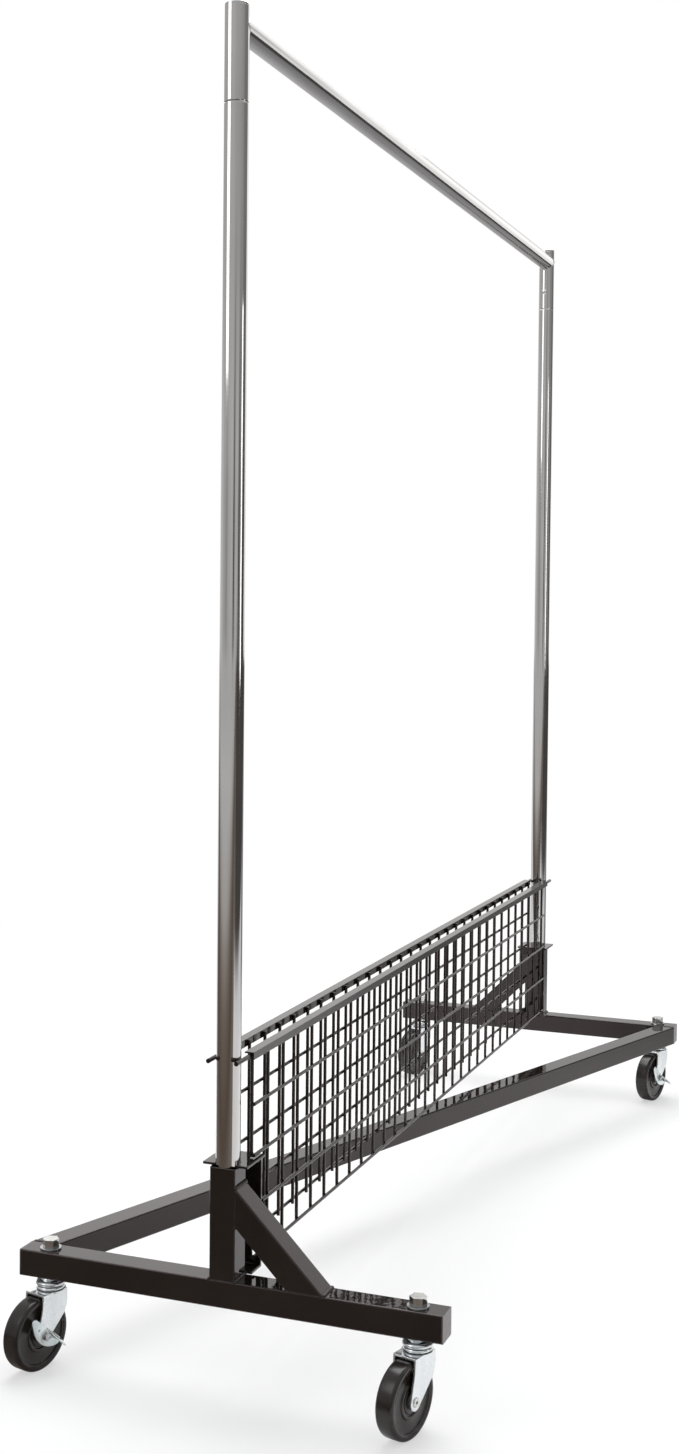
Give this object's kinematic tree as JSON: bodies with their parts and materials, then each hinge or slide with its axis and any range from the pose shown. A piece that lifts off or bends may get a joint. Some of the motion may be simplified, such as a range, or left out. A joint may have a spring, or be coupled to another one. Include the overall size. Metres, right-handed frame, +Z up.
{
  "type": "rolling clothes rack",
  "caption": "Rolling garment rack with a Z-shaped tube base on swivel casters, two round uprights, a top hang rail and a folding wire-mesh shelf.",
  "frame": {"origin": "on the floor at the middle of the rack's outline, with the casters trailing to -X as they rest", "axes": "+X along the hang rail from the near upright to the far one, +Y across the rack, +Z up"},
  "size_m": [1.6712, 0.585, 1.751],
  "materials": {
    "black_paint": "gloss",
    "end_cap": "gloss",
    "chrome": "polished",
    "zinc": "bright zinc plate",
    "bearing_steel": "ground",
    "wheel_rubber": "satin"
  },
  "bodies": {
    "frame": {"end_bar_near": "black_paint", "end_bar_far": "black_paint", "diagonal_bar": "black_paint", "bar_plugs": "end_cap", "post_socket_near": "black_paint", "post_socket_far": "black_paint", "brace_near": "black_paint", "brace_far": "black_paint", "shelf_bracket_near": "black_paint", "shelf_bracket_far": "black_paint", "post_near": "chrome", "post_far": "chrome", "spigot_near": "zinc", "spigot_far": "zinc", "top_stub_near": "chrome", "top_stub_far": "chrome", "stub_cap_near": "chrome", "stub_cap_far": "chrome", "hang_rail": "chrome", "caster_bolts": "zinc", "caster_washers": "zinc", "caster_nuts": "zinc", "caster_seats": "zinc", "swivel_balls": "bearing_steel"},
    "button_near": {"snap_button_near": "zinc"},
    "button_far": {"snap_button_far": "zinc"},
    "fork_a": {"fork_a": "zinc", "axle_a": "zinc", "axle_nut_a": "zinc"},
    "wheel_a": {"wheel_a": "wheel_rubber"},
    "brake_a": {"brake_lever_a": "zinc"},
    "fork_b": {"fork_b": "zinc", "axle_b": "zinc", "axle_nut_b": "zinc"},
    "wheel_b": {"wheel_b": "wheel_rubber"},
    "fork_c": {"fork_c": "zinc", "axle_c": "zinc", "axle_nut_c": "zinc"},
    "wheel_c": {"wheel_c": "wheel_rubber"},
    "fork_d": {"fork_d": "zinc", "axle_d": "zinc", "axle_nut_d": "zinc"},
    "wheel_d": {"wheel_d": "wheel_rubber"},
    "brake_d": {"brake_lever_d": "zinc"},
    "shelf_front": {"shelf_bar_front": "black_paint", "shelf_mesh_front": "black_paint", "catch_rod_front": "black_paint", "pivot_lugs_front": "black_paint", "pivot_pins_front": "black_paint"},
    "shelf_back": {"shelf_bar_back": "black_paint", "shelf_mesh_back": "black_paint", "catch_rod_back": "black_paint", "pivot_lugs_back": "black_paint", "pivot_pins_back": "black_paint"}
  },
  "joints": [
    {"name": "press_button_near", "type": "slide", "parent": "frame", "child": "button_near", "axis": [-1, 0, 0], "range_m": [0, 0.004], "stiffness_N_per_m": 1500, "springref_m": -0.002},
    {"name": "press_button_far", "type": "slide", "parent": "frame", "child": "button_far", "axis": [1, 0, 0], "range_m": [0, 0.004], "stiffness_N_per_m": 1500, "springref_m": -0.002},
    {"name": "swivel_a", "type": "hinge", "parent": "frame", "child": "fork_a", "pos_m": [-0.76045, 0.2555, 0.1], "axis": [0, 0, 1], "continuous": true},
    {"name": "roll_a", "type": "hinge", "parent": "fork_a", "child": "wheel_a", "pos_m": [-0.7875, 0.26275, 0.0475], "axis": [0.2588, 0.9659, 0], "continuous": true},
    {"name": "foot_brake_a", "type": "hinge", "parent": "fork_a", "child": "brake_a", "pos_m": [-0.7875, 0.26275, 0.0475], "axis": [0.2588, 0.9659, 0], "range_deg": [0, 20]},
    {"name": "swivel_b", "type": "hinge", "parent": "frame", "child": "fork_b", "pos_m": [-0.76045, -0.2555, 0.1], "axis": [0, 0, 1], "continuous": true},
    {"name": "roll_b", "type": "hinge", "parent": "fork_b", "child": "wheel_b", "pos_m": [-0.7875, -0.24825, 0.0475], "axis": [0.2588, 0.9659, 0], "continuous": true},
    {"name": "swivel_c", "type": "hinge", "parent": "frame", "child": "fork_c", "pos_m": [0.81455, 0.2555, 0.1], "axis": [0, 0, 1], "continuous": true},
    {"name": "roll_c", "type": "hinge", "parent": "fork_c", "child": "wheel_c", "pos_m": [0.7875, 0.26275, 0.0475], "axis": [0.2588, 0.9659, 0], "continuous": true},
    {"name": "swivel_d", "type": "hinge", "parent": "frame", "child": "fork_d", "pos_m": [0.81455, -0.2555, 0.1], "axis": [0, 0, 1], "continuous": true},
    {"name": "roll_d", "type": "hinge", "parent": "fork_d", "child": "wheel_d", "pos_m": [0.7875, -0.24825, 0.0475], "axis": [0.2588, 0.9659, 0], "continuous": true},
    {"name": "foot_brake_d", "type": "hinge", "parent": "fork_d", "child": "brake_d", "pos_m": [0.7875, -0.24825, 0.0475], "axis": [0.2588, 0.9659, 0], "range_deg": [0, 20]},
    {"name": "fold_shelf_front", "type": "hinge", "parent": "frame", "child": "shelf_front", "pos_m": [0.02705, -0.017, 0.162], "axis": [1, 0, 0], "range_deg": [0, 90]},
    {"name": "fold_shelf_back", "type": "hinge", "parent": "frame", "child": "shelf_back", "pos_m": [0.02705, 0.017, 0.162], "axis": [-1, 0, 0], "range_deg": [0, 90]}
  ]
}
